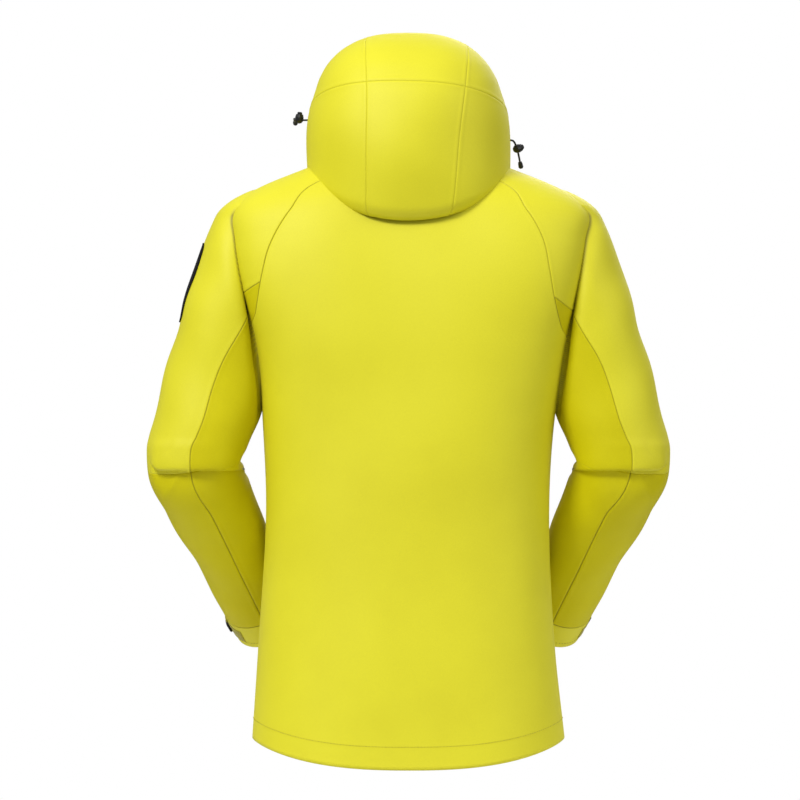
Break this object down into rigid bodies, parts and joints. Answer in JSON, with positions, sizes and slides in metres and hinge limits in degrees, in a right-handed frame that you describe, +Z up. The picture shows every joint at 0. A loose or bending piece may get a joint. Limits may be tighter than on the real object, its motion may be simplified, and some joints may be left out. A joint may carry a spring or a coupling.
{
  "type": "hardshell jacket",
  "caption": "Hooded waterproof shell jacket with raglan sleeves, bent elbows, front zip, hand-pocket zips, cuff tabs and hood drawcord locks, worn shape.",
  "frame": {"origin": "middle of the hanger loop, inside the back of the neck", "axes": "+Z up, the wearer faces -Y, +X to the wearer's left"},
  "size_m": [0.6902, 0.3446, 0.9575],
  "materials": {
    "face_fabric": "matte",
    "shade_fabric": "matte",
    "webbing": "matte",
    "loop_pile": "matte",
    "zip_tape": "satin",
    "moulded": "satin",
    "grip_rubber": "matte",
    "zip_metal": "satin",
    "pull_plastic": "matte"
  },
  "bodies": {
    "shell": {"back_panel": "face_fabric", "left_front_panel": "face_fabric", "right_front_panel": "face_fabric", "collar": "face_fabric", "left_zip_tape": "zip_tape", "right_zip_tape": "zip_tape", "inner_storm_flap": "shade_fabric", "chin_guard": "shade_fabric", "hanger_loop": "webbing", "left_raglan_sleeve": "face_fabric", "right_raglan_sleeve": "face_fabric", "left_underarm_panel": "face_fabric", "right_underarm_panel": "face_fabric", "sleeve_badge_panel": "loop_pile", "left_pocket_zip": "zip_tape", "right_pocket_zip": "zip_tape"},
    "hood": {"hood_crown_centre": "face_fabric", "hood_crown_left": "face_fabric", "hood_crown_right": "face_fabric", "hood_back_centre": "face_fabric", "hood_back_left": "face_fabric", "hood_back_right": "face_fabric", "hood_brim": "face_fabric", "left_hood_eyelet": "moulded", "right_hood_eyelet": "moulded", "left_hood_cord": "webbing", "right_hood_cord": "webbing", "left_cord_lock": "moulded", "right_cord_lock": "moulded", "left_cord_end": "moulded", "right_cord_end": "moulded"},
    "front_slider": {"front_zip_slider": "zip_metal"},
    "front_pull": {"front_zip_pull": "pull_plastic"},
    "left_forearm": {"left_elbow_panel": "face_fabric", "left_forearm_panel": "face_fabric", "left_forearm_under_panel": "face_fabric", "left_cuff": "face_fabric", "left_cuff_loop_patch": "loop_pile"},
    "left_cuff_strap": {"left_cuff_tab": "face_fabric", "left_cuff_grip": "grip_rubber"},
    "left_pocket_slider": {"left_pocket_slider": "zip_metal"},
    "left_pocket_pull": {"left_pocket_pull": "pull_plastic"},
    "left_lock_button": {"left_cord_lock_button": "moulded"},
    "right_forearm": {"right_elbow_panel": "face_fabric", "right_forearm_panel": "face_fabric", "right_forearm_under_panel": "face_fabric", "right_cuff": "face_fabric", "right_cuff_loop_patch": "loop_pile"},
    "right_cuff_strap": {"right_cuff_tab": "face_fabric", "right_cuff_grip": "grip_rubber"},
    "right_pocket_slider": {"right_pocket_slider": "zip_metal"},
    "right_pocket_pull": {"right_pocket_pull": "pull_plastic"},
    "right_lock_button": {"right_cord_lock_button": "moulded"}
  },
  "joints": [
    {"name": "hood_fold", "type": "hinge", "parent": "shell", "child": "hood", "pos_m": [0, 0.055, -0.047], "axis": [-1, 0, 0], "range_deg": [0, 100]},
    {"name": "front_zip_slide", "type": "slide", "parent": "shell", "child": "front_slider", "axis": [0, -0.0841, -0.9965], "range_m": [0, 0.745]},
    {"name": "front_pull_swing", "type": "hinge", "parent": "front_slider", "child": "front_pull", "pos_m": [0, -0.15631, 0.03547], "axis": [-1, 0, 0], "range_deg": [0, 170]},
    {"name": "left_pocket_slide", "type": "slide", "parent": "shell", "child": "left_pocket_slider", "axis": [0.1575, -0.0057, -0.9875], "range_m": [0, 0.145]},
    {"name": "left_pocket_pull_swing", "type": "hinge", "parent": "left_pocket_slider", "child": "left_pocket_pull", "pos_m": [0.12019, -0.17916, -0.43392], "axis": [-0.8993, -0.414, -0.1411], "range_deg": [0, 170]},
    {"name": "right_pocket_slide", "type": "slide", "parent": "shell", "child": "right_pocket_slider", "axis": [-0.1575, -0.0057, -0.9875], "range_m": [0, 0.145]},
    {"name": "right_pocket_pull_swing", "type": "hinge", "parent": "right_pocket_slider", "child": "right_pocket_pull", "pos_m": [-0.12019, -0.17916, -0.43392], "axis": [-0.8993, 0.414, 0.1411], "range_deg": [0, 170]},
    {"name": "left_elbow", "type": "hinge", "parent": "shell", "child": "left_forearm", "pos_m": [0.28, -0.051, -0.368], "axis": [-0.7863, 0.6012, -0.1423], "range_deg": [-40, 4], "deforming": ["left_elbow_panel"]},
    {"name": "left_cuff_tab_open", "type": "hinge", "parent": "left_forearm", "child": "left_cuff_strap", "pos_m": [0.21688, -0.24904, -0.54136], "axis": [-0.333, -0.6064, -0.7221], "range_deg": [0, 110]},
    {"name": "right_elbow", "type": "hinge", "parent": "shell", "child": "right_forearm", "pos_m": [-0.28, -0.051, -0.368], "axis": [-0.7863, -0.6012, 0.1423], "range_deg": [-40, 4], "deforming": ["right_elbow_panel"]},
    {"name": "right_cuff_tab_open", "type": "hinge", "parent": "right_forearm", "child": "right_cuff_strap", "pos_m": [-0.21688, -0.24904, -0.54136], "axis": [-0.333, 0.6064, 0.7221], "range_deg": [0, 110]},
    {"name": "left_lock_press", "type": "slide", "parent": "hood", "child": "left_lock_button", "axis": [0.1028, -0.0883, -0.9908], "range_m": [0, 0.002], "stiffness_N_per_m": 300},
    {"name": "right_lock_press", "type": "slide", "parent": "hood", "child": "right_lock_button", "axis": [0.8222, 0.4653, -0.3279], "range_m": [0, 0.002], "stiffness_N_per_m": 300}
  ]
}
